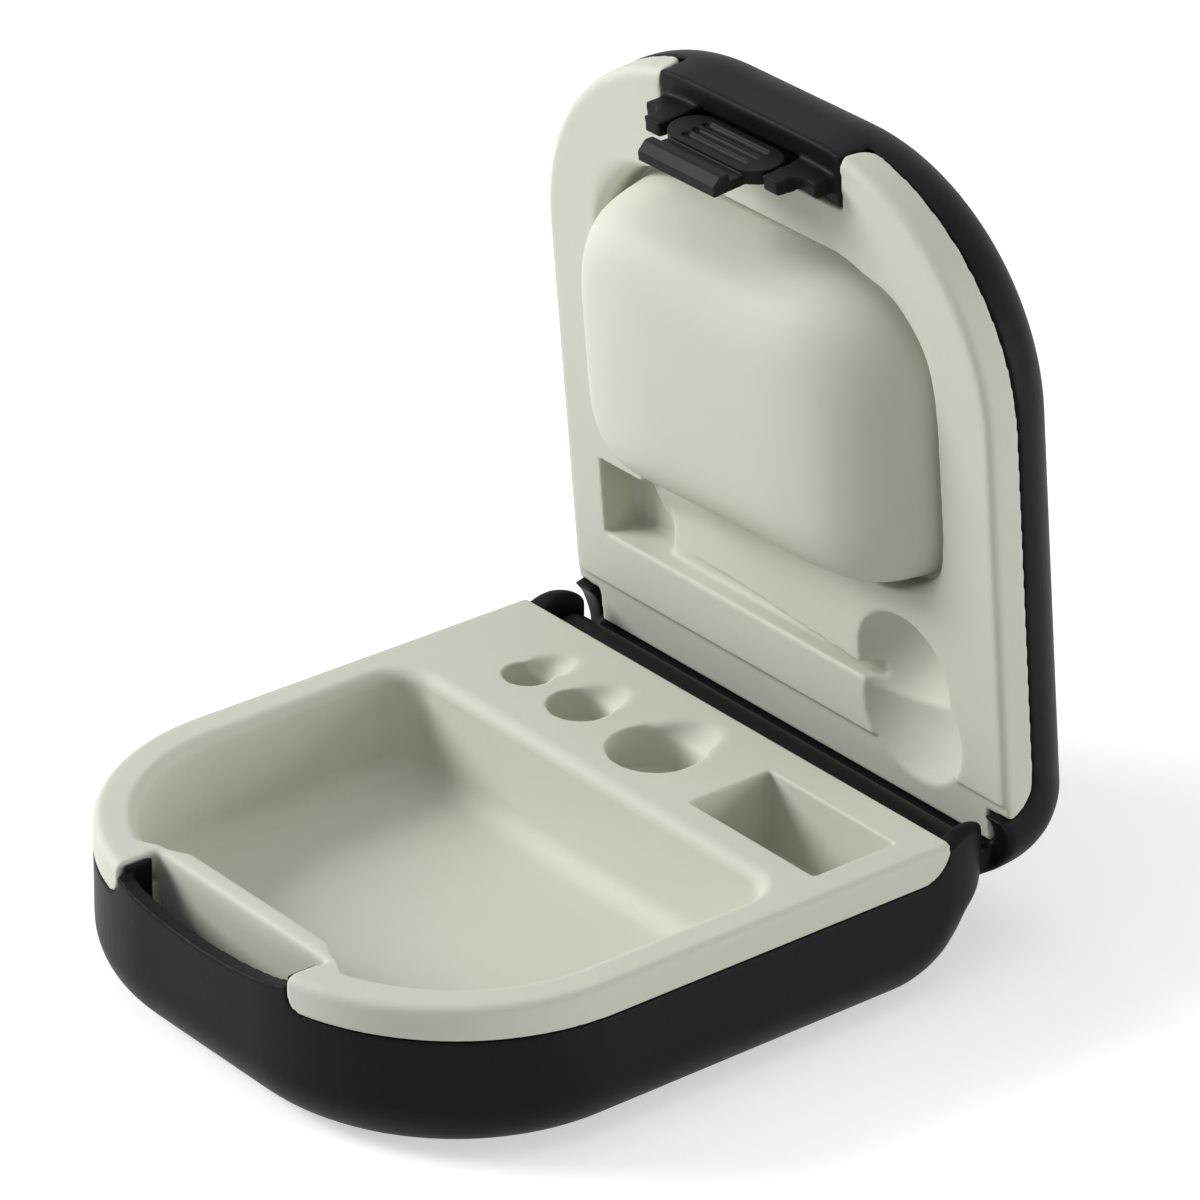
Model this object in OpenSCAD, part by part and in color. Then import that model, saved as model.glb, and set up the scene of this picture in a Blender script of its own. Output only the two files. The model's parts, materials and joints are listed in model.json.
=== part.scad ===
// Pocket case for a pair of hearing aids: two rounded shells with moulded liners,
// a rear hinge on a steel pin and a sprung push latch at the front.
// Origin: centre of the flat underside. X right, Y to the hinge, Z up. Millimetres.

/* [Case] */
// Width of the case
case_w = 82; // [74:1:96]
// Depth of the liners, from the front to the hinge side
liner_d = 82; // [76:1:96]
// Radius of the two front corners in plan
front_corner_r = 30; // [24:1:34]
// Radius of the long outer edges of both shells
edge_r = 7.5; // [6:0.25:8]
// Wall of both shells
shell_wall = 2; // [1.6:0.1:2.4]
// Height of the base up to the parting plane
base_h = 20.8; // [19.5:0.1:26]
// Height of the lid above the parting plane
lid_h = 12.8; // [12:0.1:16]
// Height of the liner lip that stands out of each shell
lip_h = 4.6; // [4.2:0.1:5]
// Rounding of the lip's outer edge
lip_edge_r = 1.2; // [0.6:0.1:2]
// Gap between the two lips when the case is closed
seam_gap = 0.2; // [0.1:0.05:0.4]
// Gap between a liner and its shell
liner_gap = 0.1; // [0.05:0.05:0.2]

/* [Hinge] */
// How far the lid stands open
open_angle = 84; // [75:1:90]
// Hinge axis behind the rear edge of the base liner
axis_back = 4.2; // [4:0.1:4.8]
// Hinge axis below the parting plane
axis_drop = 4.9; // [4.6:0.1:5.2]
// Radius of the two end knuckles on the base
knuckle_r = 5.5; // [5.2:0.1:5.8]
// Width of each end knuckle
knuckle_w = 3.7; // [3.2:0.1:4.5]
// Radius of the barrel on the lid
barrel_r = 3; // [2.6:0.1:3.3]
// Diameter of the hinge pin
pin_d = 2.5; // [1.5:0.1:3]
// Depth of the pin's end in each knuckle
pin_reach = 2.2; // [1.6:0.1:2.4]
// Radius of the base's rear lower edge
base_rear_r = 14; // [11:0.5:15]
// Radius of the lid's rear upper edge
lid_rear_r = 10; // [8.5:0.5:11]
// Reach of the lid's rear wall below the parting plane
rear_skirt = 0.9; // [0.5:0.1:1.4]
// Reach of the lid liner's strip over the hinge
strip_d = 4.8; // [4.2:0.1:5.2]
// Side play of the barrel between the knuckles
side_gap = 0.3; // [0.2:0.05:0.5]
// Gap round the knuckles and at the open stop
swing_gap = 0.4; // [0.3:0.05:0.6]

/* [Base liner] */
// Rim round the main compartment
rim_w = 5.5; // [4.5:0.1:7]
// Depth of the main compartment
comp_depth = 14.5; // [11:0.5:15]
// Radius along the foot of the compartment's walls
comp_foot_r = 3; // [1.5:0.5:4.5]
// Radius of the compartment's rear corners in plan
comp_corner_r = 5; // [4.5:0.5:8]
// Rounding of the compartment's rim
rim_r = 1.8; // [0.8:0.1:2.2]
// Depth of the battery bank between the compartment and the hinge
bank_d = 23; // [21.5:0.5:26]
// Row of wells and pocket in front of the liner's rear edge
row_y = 12.6; // [12:0.1:13.2]
// Diameter of the smallest cell
small_cell_d = 5.8; // [5:0.1:6.2]
// Diameter of the middle cell
mid_cell_d = 7.9; // [7:0.1:8.4]
// Diameter of the largest cell
large_cell_d = 11.6; // [11:0.1:12.4]
// Room round a cell
cell_gap = 0.3; // [0.1:0.1:0.5]
// Depth of the two smaller wells
well_depth = 4.6; // [3.6:0.1:6]
// Depth of the largest well
large_well_depth = 6.2; // [5:0.1:8]
// Centre of the smallest well
small_well_x = -24.2; // [-25:0.1:-23.4]
// Centre of the middle well
mid_well_x = -13.8; // [-14.4:0.1:-13.2]
// Centre of the largest well
large_well_x = 0.6; // [0:0.1:1.2]
// Slope of the finger ramps out of the wells
ramp_angle = 30; // [24:1:36]
// Radius of a ramp's trough as a share of its well's
ramp_share = 0.8; // [0.6:0.05:0.9]
// Land between the ramps and the hinge edge
ramp_land = 2; // [1.5:0.1:3]
// Width of the square pocket
pocket_w = 23; // [20:0.5:23.5]
// Depth of the pocket towards the hinge
pocket_d = 12.8; // [10:0.2:13.4]
// Depth of the pocket below the parting plane
pocket_depth = 11; // [8:0.5:12]
// Centre of the pocket inside the case's right side
pocket_side = 16; // [15.6:0.1:16.5]
// Centre of the pocket behind the row of wells
pocket_shift = 1; // [0.5:0.1:1.2]

/* [Lid liner] */
// Side of the pillow inside the case's side
pillow_side = 10.4; // [10:0.1:11.5]
// Front of the pillow behind the case front
pillow_front = 14.9; // [14.5:0.1:16]
// Rear of the pillow in front of the liner's rear edge
pillow_back = 25.8; // [25.4:0.1:27]
// Corner radius of the pillow's front
pillow_front_r = 16.5; // [12:0.5:17]
// Corner radius of the pillow's rear
pillow_rear_r = 10.8; // [9:0.1:12]
// Roll of the pillow's edges
pillow_edge_r = 8; // [5:0.5:8.5]
// Crest of the pillow beyond the parting plane
pillow_proud = 1.4; // [0.5:0.1:2.5]
// Width of the pillow's level crest
crest_w = 18; // [10:1:24]
// Rear end of the level crest in front of the liner's rear edge
crest_back = 37.3; // [34:0.1:40]
// Radius of the pillow's long flanks
flank_r = 55; // [45:1:80]
// Side of the moat round the pillow inside the case's side
moat_side = 9.6; // [9:0.1:9.9]
// Front of the moat behind the case front
moat_front = 13.7; // [13.3:0.1:14.2]
// Rear of the moat in front of the liner's rear edge
moat_back = 24.7; // [24:0.1:25]
// Radius of the moat's front corners
moat_front_r = 18; // [14:0.5:20]
// Radius of the moat's rear corners
moat_rear_r = 12; // [9:0.5:14]
// Depth of the moat
moat_depth = 5; // [4:0.25:5.5]
// Left end of the tool channel inside the case's side
channel_side = 7; // [6:0.5:9]
// End of the channel's ramp before the scoop's centre
channel_end = 8; // [6:0.5:9]
// Width of the channel's deep end
channel_w = 10.9; // [9:0.1:11.4]
// Hinge side of the channel in front of the liner's rear edge
channel_back = 9.7; // [9.3:0.1:10.2]
// Depth of the channel at its left end
channel_depth = 5.5; // [4.5:0.25:6]
// Length of the channel's level deep end
channel_deep = 8.5; // [6:0.5:10]
// Run of the step out of the deep end
step_run = 2; // [1:0.1:3]
// Depth of the ramp where it leaves the deep end
ramp_depth = 2.75; // [2:0.05:3.5]
// Width of the slot along the channel
slot_w = 1.8; // [1.2:0.1:2.4]
// Depth of the slot
slot_depth = 2.6; // [1.5:0.1:3.5]
// Radius of the finger scoop at the surface
scoop_r = 8.4; // [7.5:0.1:9]
// Depth of the finger scoop
scoop_depth = 4.6; // [3.5:0.1:5]
// Centre of the finger scoop inside the case's right side
scoop_side = 18; // [17.5:0.1:19]
// Centre of the finger scoop in front of the liner's rear edge
scoop_back = 13.2; // [12.6:0.1:13.6]
// Radius of the thumb dish below the scoop
thumb_r = 9; // [8:0.1:9.4]
// Depth of the thumb dish
thumb_depth = 3.2; // [2.4:0.1:3.6]
// Centre of the thumb dish inside the case's right side
thumb_side = 16.7; // [16:0.1:17.4]
// Centre of the thumb dish in front of the liner's rear edge
thumb_back = 6.8; // [6.4:0.1:7.4]
// Step down to the strip at the hinge
strip_step = 0.4; // [0.2:0.1:0.6]
// Step line in front of the liner's rear edge
step_line = 2; // [1.5:0.1:2.5]

/* [Latch] */
// Gap in both lips for the latch
gap_w = 33; // [31:0.5:35]
// Rounding of the lip's ends beside the latch
gap_r = 2.5; // [1:0.5:3]
// Top of the base's front wall below the parting plane, beside the latch
tooth_drop = 1.5; // [1.2:0.1:2]
// The same in the middle of the finger dish
dish_drop = 3.5; // [2.8:0.1:4]
// Width of the button's pad
pad_w = 18; // [16:0.5:19]
// Height of the button's pad
pad_h = 6.4; // [6:0.1:6.8]
// Travel of the button
press_travel = 1.3; // [1.2:0.05:1.5]
// Thickness of the button's plate behind its undercut
plate_t = 1.3; // [1.2:0.1:1.6]
// Height of the hook below its undercut
hook_h = 2.4; // [2:0.1:2.8]
// Height of the undercut between pad and hook
undercut_h = 2.2; // [2:0.1:2.6]
// Reach of the catch rib on the base's front wall
rib_reach = 1.2; // [1:0.05:1.3]
// Height of the catch rib
rib_h = 1.4; // [1:0.1:1.5]
// Blunt edge of the catch rib
rib_edge = 0.56; // [0.4:0.02:0.7]
// Ends of the catch rib inside the pad's width
rib_inset = 2.4; // [2.2:0.1:3]
// Ends of the hook inside the pad's width
hook_inset = 2; // [1.5:0.1:3]
// Rise of the slope under the hook
hook_slope = 1.2; // [0.8:0.1:1.6]
// Gap between the catch rib and the button's stem
rib_gap = 0.35; // [0.3:0.05:0.5]
// Ridges across the pad
ridge_count = 3; // [2:1:4]
// Radius of a ridge
ridge_r = 0.27; // [0.2:0.01:0.3]
// Running gap round the button
latch_gap = 0.45; // [0.35:0.05:0.5]
// Length of the wings beside the button, below the parting plane
wing_h = 6; // [5:0.1:6.4]
// Thickness of the wings
wing_t = 2; // [1.6:0.1:2.2]
// Ends of the wings inside the gap
wing_inset = 0.9; // [0.6:0.1:1.4]
// Height of the button's slide plate inside the lid
slide_h = 6.4; // [6:0.1:7]
// Diameter of the button's two guide pins
guide_d = 2; // [1.6:0.1:2.4]
// Distance between the guide pins
guide_pitch = 12; // [11:0.5:13]
// Guide pins above the parting plane
guide_rise = 4; // [3.8:0.1:4.2]
// Thickness of the retainer plate
retainer_t = 1.6; // [1.2:0.1:2]
// Height of the retainer plate
retainer_h = 5.4; // [5:0.1:5.8]
// Foot of the retainer plate above the parting plane
retainer_rise = 1.6; // [1.3:0.1:1.8]
// Room round the retainer plate
retainer_gap = 0.4; // [0.2:0.1:0.6]
// Height of the two seats under the retainer
seat_h = 1.4; // [1.2:0.1:1.8]
// Outer diameter of the spring
spring_d = 4; // [3:0.1:4.6]
// Wire of the spring
spring_wire = 0.4; // [0.3:0.05:0.45]
// Turns of the spring
spring_turns = 3; // [2:0.5:3]
// Shank of the retainer screws
screw_d = 1.6; // [1.4:0.1:2]
// Head of the retainer screws
screw_head_d = 3; // [2.6:0.1:3.4]
// Height of the screw heads
screw_head_h = 1.1; // [0.8:0.1:1.4]
// Distance between the two screws
screw_pitch = 25; // [24:0.5:26]

/* [Hidden] */
$fn = 64;
shell_black = [0.13, 0.13, 0.14];
liner_grey = [0.80, 0.82, 0.76];
steel = [0.72, 0.73, 0.75];
eps = 0.01;
far = 60;
// Overshoot of a cut past the face that it opens
cut = 1;
press_gap = 0.01;
pin_gap = 0.05;
half_w = case_w / 2;
front_y = -(liner_d + axis_back + knuckle_r) / 2;
liner_rear = front_y + liner_d;
axis_y = liner_rear + axis_back;
axis_z = base_h - axis_drop;
rear_y = axis_y + knuckle_r;
lid_z = base_h + seam_gap;
lid_top = lid_z + lid_h;
// The base's body ends ahead of the knuckles, so that the open lid hangs behind it
base_rear = rear_y - knuckle_r / 3;
barrel_half = half_w - knuckle_w - side_gap;
plug_inset = shell_wall + liner_gap;

// Latch stations, measured back from the front face
pad_u = shell_wall + latch_gap;
wing_u = pad_u + latch_gap;
stem_u = shell_wall + rib_reach + rib_gap;
button_u = stem_u + plate_t;
skin_step = 0.2;
skin_u = wing_u + skin_step;
slide_u = skin_u + skin_step;
pocket_u = button_u + press_travel + latch_gap;
retainer_u = pocket_u + seat_h;
latch_room_u = retainer_u + retainer_t + screw_head_h + press_travel;
// Latch levels, measured from the parting plane of the lid
pad_drop = 0.4;
undercut_z = lid_z - pad_drop - pad_h;
hook_z = undercut_z - undercut_h;
hook_foot = hook_z - hook_h;
rib_z = hook_z + latch_gap;
guide_z = lid_z + guide_rise;
retainer_z0 = lid_z + retainer_rise;
hook_room = 0.8;
latch_pocket_floor = hook_foot - hook_room;
pocket_wall = 3;
bulge_flare = 4.5;
// Retainer beyond the screw heads, and the skin left ahead of the screws' tips
retainer_end = 0.5;
screw_tip = 0.5;
opening_half = pad_w / 2 + latch_gap;
// Depth of the front at a given x, stepped in by u, where the plan curves back
function front_at(x, u) = let (d = max(x - (half_w - front_corner_r), 0), r = front_corner_r - u)
    front_y + front_corner_r - sqrt(r * r - d * d);

// Stations of the lid liner
channel_x0 = channel_side - half_w;
ramp_x0 = channel_x0 + channel_deep;
scoop_x = half_w - scoop_side;
channel_x1 = scoop_x - channel_end;
channel_y1 = liner_rear - channel_back;
crest_z = lid_z - pillow_proud;
// The pillow's edges roll from above the crest, so that the flanks cut them
roll_lift = 1;
moat_foot = lid_z + moat_depth;
// A foot fillet stays inside the corner that it runs round
fillet_land = 0.5;
comp_foot = min(comp_foot_r, comp_corner_r - fillet_land);

// Web of the hinge, in the lid's closed place, seen from the side
web_tip = [rear_y, lid_z - rear_skirt];
tip_reach = norm(web_tip - [axis_y, axis_z]);
tip_angle = atan2(web_tip[1] - axis_z, web_tip[0] - axis_y);
heel_angle = tip_angle - acos(barrel_r / tip_reach);
web_heel = [axis_y, axis_z] + barrel_r * [cos(heel_angle), sin(heel_angle)];
web_root = 2;

// A point of the lid, turned to the open place
function opened(p) = let (d = p - [axis_y, axis_z])
    [axis_y + d[0] * cos(open_angle) + d[1] * sin(open_angle),
     axis_z - d[0] * sin(open_angle) + d[1] * cos(open_angle)];
stop_a = opened(web_heel);
stop_b = opened(web_tip);
stop_slope = (stop_b[1] - stop_a[1]) / (stop_b[0] - stop_a[0]);
// Height of the open stop on the base at a given depth
function stop_z(y) = stop_a[1] + stop_slope * (y - stop_a[0]) - swing_gap;

// Placing helpers
module along_x(x0, x1) {
    translate([x0, 0, 0]) rotate([90, 0, 90]) linear_extrude(x1 - x0) children();
}
module along_y(y0, y1) {
    translate([0, y1, 0]) rotate([90, 0, 0]) linear_extrude(y1 - y0) children();
}
module both_sides() {
    children();
    mirror([1, 0, 0]) children();
}
module open_lid() {
    translate([0, axis_y, axis_z]) rotate([-open_angle, 0, 0])
        translate([0, -axis_y, -axis_z]) children();
}

// Quarter disc in the corner of a profile
module quarter(x, y, r) {
    intersection() {
        translate([x, y]) circle(r);
        translate([x, y - r]) square([r, r]);
    }
}

// Section of a rounded wall: foot radius er, height h, outward flare at the top
module edge_profile(w, er, h, flare) {
    intersection() {
        union() {
            square([w - er, h]);
            translate([0, er]) square([w, max(h - er, eps)]);
            quarter(w - er, er, er);
        }
        square([w, h]);
    }
    if (flare > 0) difference() {
        translate([w - er / 2, h - flare]) square([er / 2 + flare, flare]);
        translate([w + flare, h - flare]) circle(flare);
    }
}

// Plan with straight sides and rounded corners. A rear radius of 0 leaves a square rear end.
module plan(hw, y0, y1, rf, rr) {
    translate([-hw, y0 + rf]) square([2 * hw, y1 - rr - y0 - rf]);
    plan_end(hw, y0 + rf, rf);
    if (rr > 0) plan_end(hw, y1 - rr, rr);
}
module plan_end(hw, y, r) {
    for (s = [-1, 1]) translate([s * (hw - r), y]) circle(r);
    translate([r - hw, y - r]) square([2 * (hw - r), 2 * r]);
}

// Rounded solid on such a plan, with a rounded foot
module bowl(hw, y0, y1, rf, rr, er, z0, z1, flare = 0) {
    h = z1 - z0;
    d = rr > 0 ? rr : er + shell_wall;
    both_sides() translate([hw - rf, y0 + rf, z0]) rotate([0, 0, 270])
        rotate_extrude(angle = 90) edge_profile(rf, er, h, flare);
    both_sides() translate([hw - d, y1 - rr, z0]) rotate([90, 0, 0])
        linear_extrude(y1 - rr - y0 - rf) edge_profile(d, er, h, flare);
    translate([hw - rf, y0 + d, z0]) rotate([90, 0, -90])
        linear_extrude(2 * (hw - rf)) edge_profile(d, er, h, flare);
    if (rr > 0) {
        both_sides() translate([hw - rr, y1 - rr, z0])
            rotate_extrude(angle = 90) edge_profile(rr, er, h, flare);
        translate([-(hw - rr), y1 - rr, z0]) rotate([90, 0, 90])
            linear_extrude(2 * (hw - rr)) edge_profile(rr, er, h, flare);
    }
    c = (er + d) / 2;
    translate([0, 0, z0]) linear_extrude(h)
        plan(hw - c, y0 + c, rr > 0 ? y1 - c : y1, rf - c, rr > 0 ? rr - c : 0);
}

// Rear end of a shell: the rounded section bent upwards about a cross axis, stepped in by a wall
module rear_bend(y1, bend_r, h, inset) {
    hw = half_w - inset;
    er = edge_r - inset;
    r = bend_r - inset;
    translate([0, y1 - bend_r, bend_r]) rotate([0, 90, 0]) rotate_extrude(angle = 90) {
        translate([0, -hw]) square([r - er, 2 * hw]);
        translate([0, er - hw]) square([r, 2 * (hw - er)]);
        quarter(r - er, er - hw, er);
        mirror([0, 1]) quarter(r - er, er - hw, er);
    }
    translate([0, 0, bend_r]) linear_extrude(h - bend_r) rear_plan(y1 - inset, r, hw, er);
}
module rear_plan(y1, r, hw, er) {
    translate([-hw, y1 - r]) square([2 * hw, r - er]);
    translate([er - hw, y1 - r]) square([2 * (hw - er), r]);
    for (s = [-1, 1]) translate([s * (hw - er), y1 - er]) circle(er);
}

// Plan of the front of the case, stepped in by a wall, between x = -reach and reach
module front_ring(u0, u1, reach) {
    intersection() {
        difference() {
            front_plan(u0);
            front_plan(u1);
        }
        translate([-reach, front_y - eps]) square([2 * reach, front_corner_r]);
    }
}
module front_plan(u) {
    plan_end(half_w - u, front_y + front_corner_r, front_corner_r - u);
}

// Side view of the lip's space above a shell edge, with its rounded hinge end
module lip_side(gap, rear) {
    difference() {
        translate([-far, base_h - lip_h + gap]) square([far + rear, lip_h + far]);
        translate([rear - lip_h + gap, base_h - lip_h + gap]) difference() {
            square([lip_h, lip_h - gap]);
            translate([0, lip_h - gap]) circle(lip_h - gap);
        }
    }
}
// Front view of the gap in a lip, above the level z
module latch_gap_front(z, grow) {
    g = gap_w / 2 + grow;
    translate([-g, z - far]) square([2 * g, 2 * far]);
    for (s = [0, 1]) mirror([s, 0]) translate([g, z]) difference() {
        translate([-eps, 0]) square([gap_r + eps, gap_r]);
        translate([gap_r, gap_r]) circle(gap_r);
    }
}

// Outside of the base, or the room inside it, stepped in by a wall
module base_tray(inset, top) {
    bowl(half_w - inset, front_y + inset, base_rear - base_rear_r, front_corner_r - inset, 0,
         edge_r - inset, inset, top);
    rear_bend(base_rear, base_rear_r, top, inset);
}
// Room in front of the hinge wall
module before_hinge(inset) {
    intersection() {
        children();
        translate([-far, -far, -far]) cube([2 * far, far + liner_rear - inset, 3 * far]);
    }
}
// Side view of the whole space in front of the liner's rear edge, above a shell edge
module lip_room() {
    translate([-far, base_h - lip_h]) square([far + liner_rear, lip_h + far]);
}
// Front wall beside the latch, with the dish for a fingertip
module tooth() {
    sag = dish_drop - tooth_drop;
    dish_r = (pow(gap_w / 2, 2) + sag * sag) / (2 * sag);
    intersection() {
        translate([0, 0, base_h - lip_h - eps]) linear_extrude(lip_h)
            front_ring(0, shell_wall, half_w - edge_r);
        along_y(front_y - cut, front_y + edge_r) difference() {
            intersection() {
                latch_gap_front(base_h - lip_h, 0);
                translate([-far, 0]) square([2 * far, base_h - tooth_drop]);
            }
            translate([0, base_h - dish_drop + dish_r]) circle(dish_r, $fn = 180);
        }
    }
}
// Rib under which the hook catches, sloped on top so that the hook rides over it
module catch_rib() {
    u = front_y + shell_wall;
    reach = pad_w / 2 - rib_inset;
    along_x(-reach, reach) polygon([[u - eps, rib_z], [u + rib_reach, rib_z],
        [u + rib_reach, rib_z + rib_edge], [u - eps, rib_z + rib_h]]);
}
// The two knuckles, before the room between them is cut
module knuckles() {
    behind = rear_y + cut;
    intersection() {
        translate([0, 0, -cut]) linear_extrude(far)
            rear_plan(behind, base_rear_r, half_w, edge_r + behind - base_rear);
        along_x(-half_w, half_w) translate([axis_y, axis_z]) circle(knuckle_r);
    }
}
module base_shell() color(shell_black) {
    inner = half_w - knuckle_w;
    room = half_w - shell_wall;
    pin_end = inner + pin_reach + pin_gap;
    difference() {
        union() {
            difference() {
                union() {
                    difference() {
                        base_tray(0, base_h);
                        along_x(-far, far) translate([axis_y, axis_z]) square([far, far]);
                        along_x(-far, far) translate([liner_rear, lid_z - rear_skirt - swing_gap])
                            square([far, far]);
                        before_hinge(shell_wall) base_tray(shell_wall, base_h + cut);
                    }
                    knuckles();
                }
                along_x(-far, far) lip_side(0, liner_rear);
                along_x(-room, room) lip_room();
            }
            tooth();
            catch_rib();
        }
        along_x(-inner, inner) polygon([
            [liner_rear, far], [liner_rear, stop_z(liner_rear)],
            [rear_y + cut, stop_z(rear_y + cut)], [rear_y + cut, far]]);
        along_x(-pin_end, pin_end) translate([axis_y, axis_z]) circle(pin_d / 2 + pin_gap);
    }
}

// Well for a round cell with a ramp up to the hinge side
module cell_well(x, d, depth) {
    r = d / 2 + cell_gap;
    translate([x, liner_rear - row_y, base_h - depth]) {
        cylinder(h = depth + cut, r = r);
        intersection() {
            translate([0, 0, r]) rotate([ramp_angle - 90, 0, 0]) cylinder(h = far, r = r * ramp_share);
            translate([-r, 0, 0]) cube([2 * r, row_y - ramp_land, depth + cut]);
        }
    }
}
// Wall of the latch pocket, which stands into the main compartment with sloping ends
module pocket_bulge(z0, z1) {
    u = front_y + pocket_u + pocket_wall;
    foot = gap_w / 2 + bulge_flare;
    top = gap_w / 2 - pocket_wall;
    translate([0, 0, z0]) linear_extrude(z1 - z0) polygon([[-foot, front_y], [-foot, front_y + rim_w],
        [-top, u], [top, u], [foot, front_y + rim_w], [foot, front_y]]);
}
module base_liner() color(liner_grey) {
    ridge = liner_rear - bank_d;
    floor_z = base_h - comp_depth;
    pocket_y = liner_rear - row_y + pocket_shift;
    difference() {
        union() {
            before_hinge(plug_inset) base_tray(plug_inset, base_h - lip_h + liner_gap + eps);
            intersection() {
                translate([0, 0, base_h]) mirror([0, 0, 1]) bowl(half_w, front_y, liner_rear,
                    front_corner_r, 0, lip_edge_r, 0, lip_h - liner_gap);
                union() {
                    along_x(-far, far) lip_side(liner_gap, liner_rear);
                    along_x(-(half_w - plug_inset), half_w - plug_inset) lip_room();
                }
            }
        }
        difference() {
            bowl(half_w - rim_w, front_y + rim_w, ridge, front_corner_r - rim_w, comp_corner_r,
                 comp_foot, floor_z, base_h + eps, rim_r);
            pocket_bulge(floor_z - cut, base_h + cut);
        }
        cell_well(small_well_x, small_cell_d, well_depth);
        cell_well(mid_well_x, mid_cell_d, well_depth);
        cell_well(large_well_x, large_cell_d, large_well_depth);
        translate([half_w - pocket_side - pocket_w / 2, pocket_y - pocket_d / 2, base_h - pocket_depth])
            cube([pocket_w, pocket_d, pocket_depth + cut]);
        along_y(front_y - cut, front_y + pocket_u) intersection() {
            latch_gap_front(base_h - lip_h + liner_gap, liner_gap);
            translate([-far, latch_pocket_floor]) square([2 * far, far]);
        }
    }
}

module lid_outer() {
    translate([0, 0, lid_top]) mirror([0, 0, 1]) {
        bowl(half_w, front_y, rear_y - lid_rear_r, front_corner_r, 0, edge_r, 0, lid_h + rear_skirt);
        rear_bend(rear_y, lid_rear_r, lid_h + rear_skirt, 0);
    }
}
// Side and front views of the base, mirrored to the lid
module to_lid() {
    translate([0, base_h + lid_z]) mirror([0, 1]) children();
}
module hinge_web() {
    over = liner_rear + strip_d + liner_gap;
    intersection() {
        along_x(-barrel_half, barrel_half) {
            translate([axis_y, axis_z]) circle(barrel_r);
            polygon([[axis_y, axis_z], [axis_y, axis_z + barrel_r], [over, lid_z - liner_gap],
                     [over, lid_z + web_root], [rear_y, lid_z + web_root], web_tip, web_heel]);
        }
        translate([0, 0, axis_z - far / 2]) linear_extrude(far) rear_plan(rear_y, lid_rear_r, half_w, edge_r);
    }
}
// Block in the lip's gap: front skin, the two wings and the seats of the retainer
module latch_block() {
    difference() {
        union() {
            translate([0, 0, lid_z]) linear_extrude(lip_h + cut)
                front_ring(0, pocket_u, gap_w / 2 - liner_gap);
            translate([0, 0, lid_z - wing_h]) linear_extrude(wing_h + eps)
                front_ring(wing_u, wing_u + wing_t, gap_w / 2 - wing_inset);
            for (s = [-1, 1]) translate([s * screw_pitch / 2, front_y + pocket_u - eps, guide_z]) rotate([-90, 0, 0])
                cylinder(h = retainer_u - pocket_u + eps, d = screw_head_d);
        }
        translate([-opening_half, front_y + skin_u, lid_z - far]) cube([2 * opening_half, far, 2 * far]);
        translate([-opening_half, front_y, lid_z - far]) cube([2 * opening_half, far, far]);
        for (s = [-1, 1]) translate([s * screw_pitch / 2, front_y + skin_u, guide_z]) rotate([-90, 0, 0])
            cylinder(h = far, d = screw_d + 2 * press_gap);
    }
}
module lid_shell() color(shell_black) open_lid() {
    inner = half_w - knuckle_w - side_gap;
    room = half_w - shell_wall;
    difference() {
        union() {
            difference() {
                lid_outer();
                along_x(-far, far) to_lid() lip_side(0, liner_rear);
                along_x(-room, room) to_lid() lip_room();
                translate([0, 0, lid_top]) mirror([0, 0, 1]) bowl(half_w - shell_wall, front_y + shell_wall,
                    liner_rear - shell_wall, front_corner_r - shell_wall, 0, edge_r - shell_wall,
                    shell_wall, lid_h + cut);
                along_x(-inner, inner) translate([liner_rear - edge_r, lid_z - far])
                    square([edge_r + strip_d + liner_gap, far + lid_h / 2]);
                both_sides() along_x(inner, far) translate([axis_y, axis_z]) circle(knuckle_r + swing_gap);
            }
            hinge_web();
            latch_block();
        }
        along_x(-far, far) translate([axis_y, axis_z]) circle(pin_d / 2 + press_gap);
    }
}

// The form of the pillow's face: a level crest with long flanks to both sides and to the rear
module pillow_face() {
    along_y(front_y, liner_rear) {
        translate([-crest_w / 2, crest_z]) square([crest_w, flank_r]);
        for (s = [-1, 1]) translate([s * crest_w / 2, crest_z + flank_r]) circle(flank_r, $fn = 180);
    }
}
module rear_flank() {
    y = liner_rear - crest_back;
    along_x(-half_w, half_w) {
        translate([-far, crest_z]) square([far + y, flank_r]);
        translate([y, crest_z + flank_r]) circle(flank_r, $fn = 180);
    }
}
// Pillow in its moat, and the apron that runs from it down to the floor of the tool channel
module pillow() {
    intersection() {
        pillow_face();
        rear_flank();
        union() {
            bowl(half_w - pillow_side, front_y + pillow_front, liner_rear - pillow_back, pillow_front_r,
                 pillow_rear_r, pillow_edge_r, crest_z - roll_lift, moat_foot + eps);
            translate([ramp_x0, liner_rear - crest_back, crest_z - roll_lift])
                cube([channel_x1 - ramp_x0, crest_back - channel_back - slot_w, moat_foot - crest_z + roll_lift]);
        }
    }
}
module moat() {
    translate([0, 0, lid_z - cut]) linear_extrude(moat_depth + cut) plan(half_w - moat_side,
        front_y + moat_front, liner_rear - moat_back, moat_front_r, moat_rear_r);
}
// Side view of the channel's ramp, from the deep end up to the finger scoop
function ramp_line() = [[ramp_x0, lid_z + channel_depth], [ramp_x0 + step_run, lid_z + ramp_depth],
                        [channel_x1, lid_z]];
// Space over the ramp, and the ramp's floor where the moat would undercut it
module ramp_space() {
    along_y(liner_rear - moat_back - cut, channel_y1)
        polygon(concat(ramp_line(), [[channel_x1, lid_z - cut], [ramp_x0, lid_z - cut]]));
}
module ramp_floor() {
    along_y(liner_rear - crest_back, liner_rear - moat_back + cut)
        polygon(concat(ramp_line(), [[channel_x1, moat_foot + cut], [ramp_x0, moat_foot + cut]]));
}
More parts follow.
